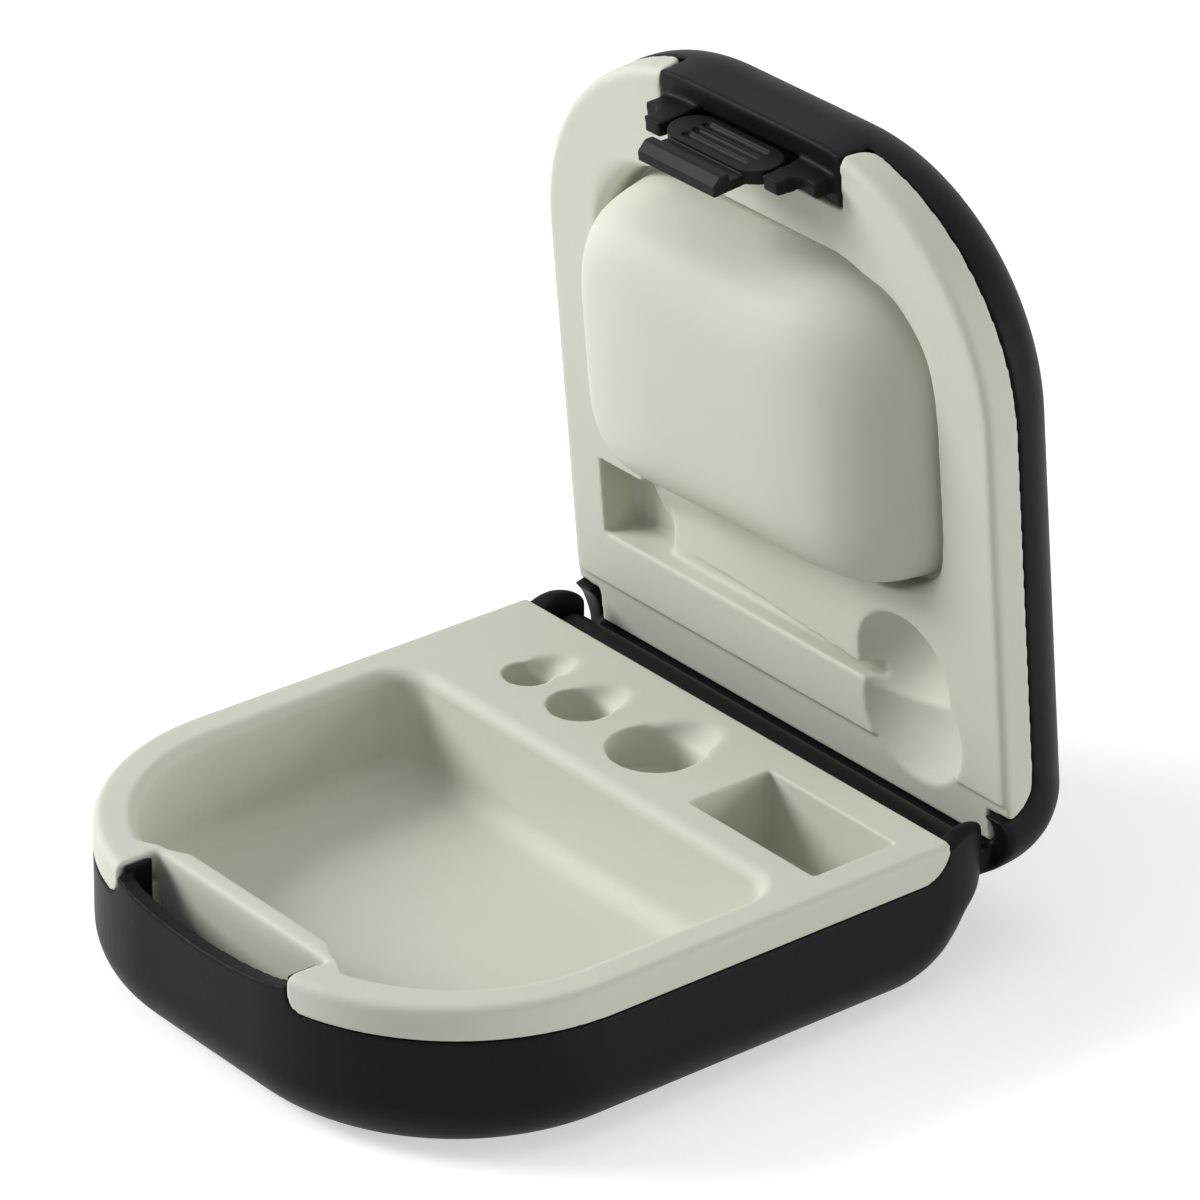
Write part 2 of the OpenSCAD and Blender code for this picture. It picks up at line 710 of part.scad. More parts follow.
// Deep end of the channel and the slot along its hinge side
module tool_channel() {
    translate([channel_x0, channel_y1 - channel_w, lid_z - cut])
        cube([channel_deep, channel_w, channel_depth + cut]);
    translate([ramp_x0, channel_y1 - slot_w, lid_z - cut])
        cube([scoop_x - ramp_x0, slot_w, slot_depth + cut]);
}
// Round dish of a given radius and depth at the surface
module dish(x, back, r, depth) {
    ball = (r * r + depth * depth) / (2 * depth);
    translate([x, liner_rear - back, lid_z + depth - ball]) sphere(ball);
}
module lid_body() {
    strip_half = barrel_half - liner_gap;
    translate([0, 0, lid_top]) mirror([0, 0, 1]) bowl(half_w - plug_inset, front_y + plug_inset,
        liner_rear - plug_inset, front_corner_r - plug_inset, 0, edge_r - plug_inset,
        plug_inset, lid_h - lip_h + liner_gap + eps);
    intersection() {
        translate([0, 0, lid_z]) bowl(half_w, front_y, liner_rear, front_corner_r, 0,
            lip_edge_r, 0, lip_h - liner_gap);
        union() {
            along_x(-far, far) to_lid() lip_side(liner_gap, liner_rear);
            along_x(-(half_w - plug_inset), half_w - plug_inset) to_lid() lip_room();
        }
    }
    translate([-strip_half, liner_rear - edge_r, lid_z])
        cube([2 * strip_half, edge_r + strip_d, lid_h / 2 - liner_gap]);
}
module lid_liner() color(liner_grey) open_lid() {
    strip_end = liner_rear + strip_d + cut;
    difference() {
        union() {
            difference() {
                lid_body();
                moat();
                ramp_space();
            }
            ramp_floor();
            pillow();
        }
        tool_channel();
        dish(scoop_x, scoop_back, scoop_r, scoop_depth);
        dish(half_w - thumb_side, thumb_back, thumb_r, thumb_depth);
        along_x(-far, far) polygon([[liner_rear - step_line, lid_z - cut],
            [liner_rear - step_line, lid_z + strip_step], [strip_end, lid_z + 2 * strip_step],
            [strip_end, lid_z - cut]]);
        along_y(front_y - cut, front_at(gap_w / 2, pocket_u) + liner_gap) to_lid()
            latch_gap_front(base_h - lip_h + liner_gap, 0);
        translate([-gap_w / 2, front_y, retainer_z0 - retainer_gap])
            cube([gap_w, latch_room_u, retainer_h + 2 * retainer_gap]);
    }
}

module hinge_pin() color(steel) {
    reach = half_w - knuckle_w + pin_reach;
    translate([-reach, axis_y, axis_z]) rotate([0, 90, 0]) cylinder(h = 2 * reach, d = pin_d);
}

// Side view of the button: pad, undercut stem and outward hook, in the lid's closed place
module button_side() {
    f = front_y;
    polygon([[f + pad_u, undercut_z], [f + pad_u, lid_z - pad_drop], [f + slide_u, lid_z - pad_drop],
             [f + slide_u, lid_z + slide_h], [f + button_u, lid_z + slide_h], [f + button_u, hook_foot],
             [f + stem_u, hook_foot], [f + pad_u, hook_foot + hook_slope], [f + pad_u, hook_z],
             [f + stem_u, hook_z], [f + stem_u, undercut_z]]);
}
// Front view of the button: rounded pad above, narrower hook below
module button_front() {
    r = pad_h / 2;
    x = pad_w / 2;
    translate([r - x, undercut_z]) square([pad_w - pad_h, pad_h + slide_h + pad_drop]);
    for (s = [-1, 1]) translate([s * (x - r), undercut_z + r]) circle(r);
    translate([-x, undercut_z + r]) square([pad_w, lid_z - undercut_z - r + slide_h]);
    translate([hook_inset - x, hook_foot]) square([pad_w - 2 * hook_inset, undercut_z + r - hook_foot]);
}
module latch_button() color(shell_black) open_lid() {
    ridge_pitch = pad_h / (ridge_count + 1);
    intersection() {
        along_x(-far, far) button_side();
        along_y(front_y - cut, front_y + far) button_front();
    }
    for (i = [1:ridge_count]) translate([-(pad_w - pad_h) / 2, front_y + pad_u, undercut_z + i * ridge_pitch])
        rotate([0, 90, 0]) cylinder(h = pad_w - pad_h, r = ridge_r);
    for (s = [-1, 1]) translate([s * guide_pitch / 2, front_y + button_u - eps, guide_z]) rotate([-90, 0, 0])
        cylinder(h = retainer_u + retainer_t - button_u, d = guide_d);
}

// Points of the spring's centre line, from the button to the retainer
spring_end = 0.1;
spring_len = retainer_u - button_u - 2 * spring_end;
function coil_point(a) = [
    (spring_d - spring_wire) / 2 * cos(a),
    spring_wire / 2 + (spring_len - spring_wire) * a / (360 * spring_turns),
    (spring_d - spring_wire) / 2 * sin(a)];
coil_rings = 12;
coil_sides = 6;
coil_pitch = (spring_len - spring_wire) / spring_turns;
echo(spring_gap = coil_pitch - spring_wire);
module latch_spring() color(steel) open_lid() {
    n = round(coil_rings * spring_turns);
    step = 360 * spring_turns / n;
    points = [for (i = [0:n], k = [0:coil_sides - 1])
        let (a = i * step, b = k * 360 / coil_sides, c = coil_point(a), out = [cos(a), 0, sin(a)])
        c + spring_wire / 2 * (cos(b) * out + sin(b) * [0, 1, 0])];
    sides = [for (i = [0:n - 1], k = [0:coil_sides - 1]) let (m = (k + 1) % coil_sides)
        each [[i * coil_sides + k, i * coil_sides + m, (i + 1) * coil_sides + m],
              [i * coil_sides + k, (i + 1) * coil_sides + m, (i + 1) * coil_sides + k]]];
    ends = [[for (k = [coil_sides - 1:-1:0]) k], [for (k = [0:coil_sides - 1]) n * coil_sides + k]];
    translate([0, front_y + button_u + spring_end, guide_z])
        polyhedron(points = points, faces = concat(sides, ends));
}

module latch_retainer() color(shell_black) open_lid() {
    w = screw_pitch + screw_head_d + 2 * retainer_end;
    difference() {
        translate([-w / 2, front_y + retainer_u, retainer_z0]) cube([w, retainer_t, retainer_h]);
        for (s = [-1, 1]) {
            retainer_hole(s * guide_pitch / 2, guide_d);
            retainer_hole(s * screw_pitch / 2, screw_d);
        }
    }
}
module retainer_hole(x, d) {
    translate([x, front_y + retainer_u - cut, guide_z]) rotate([-90, 0, 0])
        cylinder(h = retainer_t + 2 * cut, d = d + 2 * pin_gap);
}
module retainer_screws() color(steel) open_lid() {
    tip = skin_u + screw_tip;
    seat = retainer_u + retainer_t;
    for (s = [-1, 1]) translate([s * screw_pitch / 2, front_y, guide_z]) rotate([-90, 0, 0]) {
        translate([0, 0, tip]) cylinder(h = seat - tip + eps, d = screw_d);
        translate([0, 0, seat]) cylinder(h = screw_head_h, d = screw_head_d);
    }
}

base_shell();
base_liner();
lid_shell();
lid_liner();
hinge_pin();
latch_button();
latch_spring();
latch_retainer();
retainer_screws();
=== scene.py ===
"""Pocket case for a pair of hearing aids, dressed for the studio.

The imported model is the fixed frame. The moulded pieces are softened copies of its solids,
the coil is wound afresh, and every surface gets its own procedural finish.
"""

import json
import math

import bmesh
import bpy
import numpy as np
from mathutils import Matrix, Vector


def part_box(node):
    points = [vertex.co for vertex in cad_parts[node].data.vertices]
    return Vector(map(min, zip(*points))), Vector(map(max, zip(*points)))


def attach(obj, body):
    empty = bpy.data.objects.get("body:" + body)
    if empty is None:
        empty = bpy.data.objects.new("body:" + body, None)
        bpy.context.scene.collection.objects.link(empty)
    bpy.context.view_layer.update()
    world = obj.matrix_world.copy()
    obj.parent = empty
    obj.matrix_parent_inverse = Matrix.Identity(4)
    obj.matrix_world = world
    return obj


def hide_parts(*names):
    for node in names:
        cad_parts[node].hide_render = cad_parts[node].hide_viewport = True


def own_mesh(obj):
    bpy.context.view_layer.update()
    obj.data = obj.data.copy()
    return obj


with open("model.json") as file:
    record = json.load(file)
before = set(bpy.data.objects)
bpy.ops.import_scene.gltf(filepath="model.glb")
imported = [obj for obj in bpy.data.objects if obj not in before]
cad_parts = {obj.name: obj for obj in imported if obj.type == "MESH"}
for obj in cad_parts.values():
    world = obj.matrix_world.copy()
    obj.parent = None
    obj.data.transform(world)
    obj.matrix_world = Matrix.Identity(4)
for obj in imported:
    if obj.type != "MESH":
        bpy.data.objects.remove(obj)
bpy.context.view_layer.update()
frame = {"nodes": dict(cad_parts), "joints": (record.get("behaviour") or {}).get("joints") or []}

bl_info = {
    "name": "Hearing aid case",
    "version": (1, 0, 0),
    "blender": (4, 5, 0),
    "location": "View3D > Sidebar > Case",
    "description": "Moulds, finishes and lights a pocket case for hearing aids",
    "category": "Object",
}

MM = 0.001


# The frame's own measures


def joint_named(name):
    return next(j for j in frame["joints"] if j["name"] == name)


def lid_turn():
    """The hinge's pivot, and the turn that shuts the standing lid."""
    joint = joint_named("lid_hinge")
    turn = Matrix.Rotation(math.radians(joint["range_deg"][1]), 3, Vector(joint["axis"]))
    return np.array(joint["pos_m"]), np.array(turn)


def closed_place(points):
    """Points of the standing lid, turned shut about the hinge axis."""
    pivot, turn = lid_turn()
    return (points - pivot) @ turn.T + pivot


def standing_place(points):
    """Points of the shut lid, turned back up to where it stands."""
    pivot, turn = lid_turn()
    return (points - pivot) @ turn + pivot


def from_front(points):
    """Points measured back from the front of the base, and up from its parting plane."""
    low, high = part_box("base_liner")
    return points - np.array([0, low[1], high[2]])


def shut_from_front(points):
    """Points of the standing lid, measured from the front once it is shut."""
    return from_front(closed_place(points))


def either_side(points):
    """Points measured from the front, with the left side mirrored onto the right."""
    return from_front(points) * np.where(points < 0, [-1, 1, 1], 1)


def shut_either_side(points):
    """Points of the standing lid, mirrored onto the right once it is shut."""
    return either_side(closed_place(points))


# Zones that are softened further: low corner, high corner and the fade around them, in millimetres

RIBBON = ((-16, 5.5, -3.5), (16, 11, 1), 1.5)
WELL_RAMPS = ((-28, 72.5, -3), (8, 80, 1), 1.5)
PILLOW = ((-29, 17, -20), (29, 53, 3), 3)
APRON = ((-22, 57, -3), (12, 67, 9), 3)
HINGE_ENDS = ((33, 83, -14), (42, 92, 8), 2)
HINGE_CUPS = ((33, 78, -12), (42, 93, 6), 2)

# Black cheeks at the two ends of the latch gap, in millimetres

CHEEK_SIDE, CHEEK_THICK = 16.2, 0.6
CHEEK_FRONT, CHEEK_BACK = 0.8, 4.8
CHEEK_FOOT, CHEEK_TOP = -9, -0.4

# Ridge measure: its value on level ground, and the relaxing passes that give the surroundings

LEVEL = 0.5
RIDGE_REACH = 8

# Softboxes: place and size in metres, and the point that they face

KEY_SOFTBOX = ((-0.78, -0.68, 0.62), 0.5)
RIM_SOFTBOX = ((0.90, 0.52, 0.13), 0.3)
TOP_SOFTBOX = ((0.05, 0.05, 1.1), 0.9)
LIT_POINT = (0, 0, 0.03)

BLACK = (0, 0, 0, 1)
WHITE = (1, 1, 1, 1)


# Sizes and colours that a user would change


class CaseMoulding(bpy.types.PropertyGroup):
    """How finely the moulded pieces are remade, and how soft their edges get."""

    liner_grid: bpy.props.FloatProperty(
        name="Liner grid", description="Grid on which the liners are remade",
        default=0.28 * MM, unit="LENGTH", precision=5)
    liner_passes: bpy.props.IntProperty(
        name="Liner softening", description="Relaxing passes over the liners", default=7)
    pillow_passes: bpy.props.IntProperty(
        name="Pillow softening", description="Further passes over the pillow alone", default=160)
    pillow_rise: bpy.props.FloatProperty(
        name="Pillow rise", description="Crest of the pillow above its packed solid",
        default=8.8 * MM, unit="LENGTH", precision=5)
    pillow_roll: bpy.props.FloatProperty(
        name="Pillow roll", description="Width over which the pillow's right rim rolls up to its crest",
        default=13 * MM, unit="LENGTH", precision=5)
    pillow_left_roll: bpy.props.FloatProperty(
        name="Pillow left roll", description="The same at its left rim, which is fuller",
        default=6.5 * MM, unit="LENGTH", precision=5)
    apron_passes: bpy.props.IntProperty(
        name="Apron softening", description="Further passes over the tool channel's floor", default=60)
    ribbon_passes: bpy.props.IntProperty(
        name="Ribbon softening", description="Further passes over the ribbon behind the latch", default=30)
    ramp_passes: bpy.props.IntProperty(
        name="Ramp softening", description="Further passes over the wells' ramps", default=25)
    kept_share: bpy.props.FloatProperty(
        name="Kept faces", description="Share of the faces kept after softening",
        default=0.5, subtype="FACTOR")
    button_grid: bpy.props.FloatProperty(
        name="Button grid", description="Grid on which the latch button is remade",
        default=0.11 * MM, unit="LENGTH", precision=5)
    button_passes: bpy.props.IntProperty(
        name="Button softening", description="Relaxing passes over the button", default=4)
    shell_grid: bpy.props.FloatProperty(
        name="Shell grid", description="Grid on which the shells are remade",
        default=0.28 * MM, unit="LENGTH", precision=5)
    shell_passes: bpy.props.IntProperty(
        name="Shell softening", description="Relaxing passes over the shells", default=4)
    hinge_passes: bpy.props.IntProperty(
        name="Hinge softening", description="Further passes over the ends of the hinge", default=70)
    cup_passes: bpy.props.IntProperty(
        name="Cup softening", description="Further passes over the lid's corners at the hinge", default=30)
    coil_wire: bpy.props.FloatProperty(
        name="Coil wire", description="Wire of the latch spring", default=0.4 * MM,
        unit="LENGTH", precision=5)
    coil_turns: bpy.props.IntProperty(
        name="Coil turns", description="Turns of the latch spring", default=3)


class CaseFinish(bpy.types.PropertyGroup):
    """Colours of the mouldings."""

    liner: bpy.props.FloatVectorProperty(
        name="Liner", description="Pale grey-green of both liners", subtype="COLOR",
        size=3, default=(0.63, 0.65, 0.565))
    shell: bpy.props.FloatVectorProperty(
        name="Shell", description="Near black of both shells", subtype="COLOR",
        size=3, default=(0.0045, 0.0045, 0.005))
    button: bpy.props.FloatVectorProperty(
        name="Button", description="Soft black of the latch", subtype="COLOR",
        size=3, default=(0.008, 0.008, 0.008))
    steel: bpy.props.FloatVectorProperty(
        name="Steel", description="Pin, spring and screws", subtype="COLOR",
        size=3, default=(0.60, 0.61, 0.63))
    floor: bpy.props.FloatVectorProperty(
        name="Floor", description="Studio floor", subtype="COLOR",
        size=3, default=(0.80, 0.80, 0.80))


class CaseStudio(bpy.types.PropertyGroup):
    """Camera and light."""

    target: bpy.props.FloatVectorProperty(
        name="Target", description="Point that the camera looks at", subtype="TRANSLATION",
        size=3, default=(-0.011919, 0.024838, 0.035726))
    distance: bpy.props.FloatProperty(
        name="Distance", description="From the target to the camera", default=0.88, unit="LENGTH")
    azimuth: bpy.props.FloatProperty(
        name="Azimuth", description="Camera's turn to the right of the front",
        default=math.radians(50.194), subtype="ANGLE")
    elevation: bpy.props.FloatProperty(
        name="Elevation", description="Camera's height as an angle",
        default=math.radians(27.359), subtype="ANGLE")
    roll: bpy.props.FloatProperty(
        name="Roll", description="Camera's roll", default=math.radians(0.869), subtype="ANGLE")
    lens: bpy.props.FloatProperty(
        name="Lens", description="Focal length in millimetres on a 36 mm sensor", default=215.1)
    ambient: bpy.props.FloatProperty(
        name="Ambient", description="Strength of the world's even light", default=0.25)
    key_power: bpy.props.FloatProperty(
        name="Key", description="Power of the key softbox", default=12.5, unit="POWER")
    top_power: bpy.props.FloatProperty(
        name="Top", description="Power of the overhead softbox", default=2.6, unit="POWER")
    rim_power: bpy.props.FloatProperty(
        name="Rim", description="Power of the softbox behind and to the right", default=4.0, unit="POWER")
    floor_glow: bpy.props.FloatProperty(
        name="Floor glow", description="White that the camera and reflections see on the floor",
        default=0.52)


# Shader expressions


class Wire:
    """A socket in a material's tree, with the arithmetic that the finishes use."""

    def __init__(self, tree, socket):
        self.tree = tree
        self.socket = socket

    def node(self, kind, settings=None, sockets=None, output=0):
        """Adds a node: its settings first, then the values or links of its sockets."""
        made = self.tree.nodes.new(kind)
        for name, value in (settings or {}).items():
            setattr(made, name, value)
        for name, value in (sockets or {}).items():
            if isinstance(value, Wire):
                self.tree.links.new(value.socket, made.inputs[name])
            else:
                made.inputs[name].default_value = value
        return Wire(self.tree, made.outputs[output])

    def math(self, operation, first, second):
        return self.node("ShaderNodeMath", {"operation": operation}, {0: first, 1: second})

    def __add__(self, other):
        return self.math("ADD", self, other)

    __radd__ = __add__

    def __mul__(self, other):
        return self.math("MULTIPLY", self, other)

    __rmul__ = __mul__

    def __sub__(self, other):
        return self.math("SUBTRACT", self, other)

    def __rsub__(self, other):
        return self.math("SUBTRACT", other, self)

    def clamped(self):
        return self.node("ShaderNodeClamp", None, {"Value": self})

    def mix(self, first, second):
        """Blends two colours by this factor."""
        return self.node("ShaderNodeMix", {"data_type": "RGBA"}, {0: self, 6: first, 7: second}, 2)


def rgba(colour, gain=1.0):
    """An opaque colour, made brighter or darker by the gain."""
    return (*[c * gain for c in colour], 1.0)


def new_material(name):
    """An empty material, its shader and a wire that starts at the object's coordinates in metres."""
    material = bpy.data.materials.new(name)
    material.use_nodes = True
    tree = material.node_tree
    shader = tree.nodes["Principled BSDF"]
    place = tree.nodes.new("ShaderNodeTexCoord")
    return material, shader, Wire(tree, place.outputs["Object"])


def noise(place, size, detail=2.0, roughness=0.5):
    """Grey noise whose grains are about the given size in metres."""
    return place.node("ShaderNodeTexNoise", None, {
        "Vector": place, "Scale": 1 / size, "Detail": detail, "Roughness": roughness})


def feed(shader, **links):
    """Links wires to the shader's sockets by name, with _ for a space."""
    for name, wire in links.items():
        wire.tree.links.new(wire.socket, shader.inputs[name.replace("_", " ")])


def bump(height, depth):
    """A normal bent by grey heights of the given depth in metres."""
    return height.node("ShaderNodeBump", None, {"Height": height, "Distance": depth, "Strength": 1.0})


def ridge_of(place):
    """The stored measure of how far a point stands proud of its surroundings."""
    return place.node("ShaderNodeAttribute", {"attribute_name": "ridge"}, None, 2)


# Finishes


def liner_finish(finish):
    """Soft matt moulding: cloudy tone; proud edges paler, as wear and painted highlight, and smoother;
    creases darker, as dust and painted shade.
    """
    cloud_size, grain_size, grain_depth = 14 * MM, 0.35 * MM, 0.012 * MM
    material, shader, place = new_material("liner_moulding")
    ridge = ridge_of(place)
    cloud = noise(place, cloud_size, detail=3.0)
    fine = noise(place, grain_size)
    # Masks from the ridge measure: proud edges get painted highlight with wear, creases get painted shade
    # with dust.
    edge_wear_and_highlight = ((ridge - LEVEL) * 2.2).clamped()
    crease_dust_and_shade = ((LEVEL - ridge) * 2.0).clamped()
    tone = (cloud * 0.8 + fine * 0.2).mix(rgba(finish.liner, 0.965), rgba(finish.liner, 1.035))
    # Painted shade, with dust: the liner's colour is darkened in the creases.
    tone = (crease_dust_and_shade * 0.35).mix(tone, rgba(finish.liner, 0.72))
    # Painted highlight, with wear: the liner's colour is made paler along the proud edges.
    tone = (edge_wear_and_highlight * 0.45).mix(tone, rgba(finish.liner, 1.1))
    feed(shader, Base_Color=tone)
    feed(shader, Roughness=0.5 + cloud * 0.1 - edge_wear_and_highlight * 0.1)
    feed(shader, Normal=bump(fine, grain_depth))
    shader.inputs["Specular IOR Level"].default_value = 0.12
    return material


def grained_finish(name, colour, grain, depth, dull):
    """Black moulding with a fine spark-eroded grain, paler and duller where it is worn."""
    rub_size, patch_size = 9 * MM, 3 * MM
    material, shader, place = new_material(name)
    speck = noise(place, grain, detail=4.0, roughness=0.6)
    rubbed = noise(place, rub_size, detail=3.0)
    proud = ((ridge_of(place) - LEVEL) * 2.4).clamped()
    patchy = ((noise(place, patch_size, detail=3.0) - 0.2) * 1.8).clamped()
    wear = proud * patchy
    tone = (rubbed * 0.7 + speck * 0.3).mix(rgba(colour, 0.8), rgba(colour, 1.25))
    tone = (wear * 0.5).mix(tone, rgba(colour, 1.7))
    feed(shader, Base_Color=tone)
    feed(shader, Roughness=dull + rubbed * 0.12 + speck * 0.06 + wear * 0.14)
    feed(shader, Normal=bump(speck, depth))
    shader.inputs["Specular IOR Level"].default_value = 0.10
    return material


def steel_finish(finish):
    """Drawn steel with fine lines across the case, along its pin."""
    drawn_out, line_size, line_depth, stain_size = (0.05, 1, 1), 0.08 * MM, 0.004 * MM, 2.5 * MM
    material, shader, place = new_material("drawn_steel")
    stretched = place.node("ShaderNodeMapping", None, {"Vector": place, "Scale": drawn_out})
    lines = noise(stretched, line_size)
    stain = noise(place, stain_size)
    feed(shader, Base_Color=(stain * 0.6).mix(rgba(finish.steel), rgba(finish.steel, 0.72)))
    feed(shader, Roughness=0.22 + lines * 0.18)
    feed(shader, Normal=bump(lines, line_depth))
    shader.inputs["Metallic"].default_value = 1.0
    return material


# Moulded meshes


def mesh_points(mesh, what="co"):
    flat = np.empty(len(mesh.vertices) * 3, np.float32)
    mesh.vertices.foreach_get(what, flat)
    return flat.reshape(-1, 3).astype(float)


def mesh_edges(mesh):
    flat = np.empty(len(mesh.edges) * 2, np.int32)
    mesh.edges.foreach_get("vertices", flat)
    return flat.reshape(-1, 2)


def relaxed(points, edges, passes, weight=0.5):
    """Moves each point towards the middle of its neighbours, pass by pass."""
    ends = np.concatenate([edges[:, 0], edges[:, 1]])
    others = np.concatenate([edges[:, 1], edges[:, 0]])
    count = np.bincount(ends, minlength=len(points))[:, None]
    for _ in range(passes):
        total = np.stack([np.bincount(ends, points[others, k], len(points)) for k in range(3)], 1)
        points = points + weight * (total / np.maximum(count, 1) - points)
    return points


def relaxed_in_place(points, edges, passes, weight=0.5):
    """Relaxing that gives back the shrinkage after each pass, so walls keep their thickness."""
    give_back = -1.04
    for _ in range(passes):
        points = relaxed(points, edges, 1, weight)
        points = relaxed(points, edges, 1, weight * give_back)
    return points


def piece_from(node, name, added=()):
    """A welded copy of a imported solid, with boxes added that are measured from the base's front."""
    weld = 0.001 * MM
    mesh = frame["nodes"][node].data.copy()
    mesh.name = name
    work = bmesh.new()
    work.from_mesh(mesh)
    bmesh.ops.remove_doubles(work, verts=work.verts, dist=weld)
    origin = -from_front(np.zeros((1, 3)))[0]
    for low, high in added:
        middle = Vector(origin + (np.array(low) + np.array(high)) / 2 * MM)
        size = (np.array(high) - np.array(low)) * MM
        bmesh.ops.create_cube(work, matrix=Matrix.Translation(middle) @ Matrix.Diagonal((*size, 1)))
    work.to_mesh(mesh)
    work.free()
    mesh.materials.clear()
    piece = bpy.data.objects.new(name, mesh)
    bpy.context.scene.collection.objects.link(piece)
    return piece


def remade(piece, kind, **settings):
    """Adds a modifier and keeps its result as the piece's mesh."""
    modifier = piece.modifiers.new(kind.lower(), kind)
    for name, value in settings.items():
        setattr(modifier, name, value)
    shown = piece.evaluated_get(bpy.context.evaluated_depsgraph_get())
    mesh = bpy.data.meshes.new_from_object(shown)
    piece.modifiers.clear()
    piece.data = mesh
    return piece


def on_grid(piece, grid):
    return remade(piece, "REMESH", mode="VOXEL", voxel_size=grid, use_smooth_shade=True)


def move_points(mesh, points):
    mesh.vertices.foreach_set("co", points.astype(np.float32).ravel())
    mesh.update()


def keep_ridge(mesh, height):
    """Stores how far each point stands proud of its surroundings, 1 at the given height."""
    points = mesh_points(mesh)
    smooth = relaxed(points, mesh_edges(mesh), RIDGE_REACH)
    proud = ((points - smooth) * mesh_points(mesh, "normal")).sum(1)
    values = np.clip(LEVEL + (1 - LEVEL) * proud / height, 0, 1).astype(np.float32)
    layer = mesh.attributes.new("ridge", "FLOAT", "POINT")
    layer.data.foreach_set("value", values)


def soft_moulding(node, name, grid, passes, share, zones=(), shaped=None, added=()):
    """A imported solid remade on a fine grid, shaped, with its edges relaxed and some zones more so."""
    piece = on_grid(piece_from(node, name, added), grid)
    if shaped:
        move_points(piece.data, shaped(mesh_points(piece.data)))
        on_grid(piece, grid)
    edges = mesh_edges(piece.data)
    points = relaxed_in_place(mesh_points(piece.data), edges, passes)
    for place_of, low, high, fade, more in zones:
        soften(points, edges, zone_weight(place_of(points), low, high, fade), more)
    move_points(piece.data, points)
    remade(piece, "DECIMATE", ratio=share)
    piece.data.shade_smooth()
    return piece


def zone_weight(place, low, high, fade):
    """1 inside a box in millimetres, easing to 0 over the fade around it."""
    outside = np.maximum(np.array(low) * MM - place, place - np.array(high) * MM).max(1)
    share = 1 - np.clip(outside / (fade * MM), 0, 1)
    return share * share * (3 - 2 * share)


def soften(points, edges, weight, passes):
    """Relaxes the weighted points alone."""
    local = edges[(weight[edges] > 0).any(1)]
    used, ends = np.unique(local, return_inverse=True)
    points[used] = relaxed(points[used], ends.reshape(-1, 2), passes, 0.5 * weight[used, None])


def rim_distance(place):
    """How far points lie inside the pillow's outline in plan, below 0 outside it."""
    half, front, rear = 30.6 * MM, 14.9 * MM, 56.2 * MM
    front_corner, rear_corner = 16.5 * MM, 10.8 * MM
    middle, reach = (front + rear) / 2, (rear - front) / 2
    corner = np.where(place[:, 1] < middle, front_corner, rear_corner)
    x = np.abs(place[:, 0]) - half + corner
    y = np.abs(place[:, 1] - middle) - reach + corner
    return corner - np.hypot(np.maximum(x, 0), np.maximum(y, 0)) - np.minimum(np.maximum(x, y), 0)


def crowned(points, rise, left_roll, right_roll):
    """Points of the lid liner, with the pillow's face blown up and its rim left in its moat."""
    face_back, fade, side = 6.5 * MM, 2 * MM, 30 * MM
    shut = closed_place(points)
    place = from_front(shut)
    roll = np.interp(place[:, 0], (-side, side), (left_roll, right_roll))
    climb = np.clip(rim_distance(place) / roll, 0, 1)
    face = 1 - np.clip((place[:, 2] - face_back) / fade, 0, 1)
    shut[:, 2] -= rise * face * np.sqrt(1 - (1 - climb) ** 2)
    return standing_place(shut)


def stepped_wings(points):
    """Points of the lid shell, with the outer ends of the wings beside the button cut short."""
    inner, outer, front, back, end = np.array((12.4, 16.6, 2.5, 6, -2.8)) * MM
    shut = closed_place(points)
    place = from_front(shut)
    x, y, z = np.abs(place[:, 0]), place[:, 1], place[:, 2]
    cut = (x > inner) & (x < outer) & (y > front) & (y < back) & (z < end)
    shut[:, 2] += np.where(cut, end - z, 0)
    return standing_place(shut)


def grooved_pad(points):
    """Points of the latch button, with its pad cut to a round-ended bar and grooves pressed along it."""
    face, plate, foot, middle = np.array((2.45, 3.6, -6.7, -3.4)) * MM
    straight, end_r, wall = np.array((5.8, 3.2, 0.25)) * MM
    groove_r, pitch, skin = np.array((0.6, 1.6, 0.3)) * MM
    shut = closed_place(points)
    x, y, z = from_front(shut).T
    outside = np.hypot(np.maximum(np.abs(x) - straight, 0), z - middle) - end_r
    level = y.copy()
    on_face = (y < face + skin) & (outside < 0) & (z > foot)
    level[on_face] = face
    for i in (-1, 0, 1):
        reach = np.hypot(np.maximum(np.abs(x) - straight + groove_r, 0), z - middle - i * pitch)
        level += np.where(on_face, np.sqrt(np.maximum(groove_r ** 2 - reach ** 2, 0)), 0)
    beside = (y < plate) & (outside >= 0) & (z > foot)
    fall = face + (plate - face) * np.clip(outside / wall, 0, 1)
    level = np.where(beside, np.maximum(y, fall), level)
    shut[:, 1] += level - y
    return standing_place(shut)


def latch_cheeks():
    """Low and high corners of the cheeks at the two ends of the latch gap."""
    half = CHEEK_THICK / 2
    return [((side * CHEEK_SIDE - half, CHEEK_FRONT, CHEEK_FOOT),
             (side * CHEEK_SIDE + half, CHEEK_BACK, CHEEK_TOP)) for side in (-1, 1)]


def dress(piece, node, body, material):
    """Gives a piece its finish, and its place in the frame."""
    piece.data.materials.clear()
    piece.data.materials.append(material)
    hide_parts(node)
    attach(piece, body)


# Operators


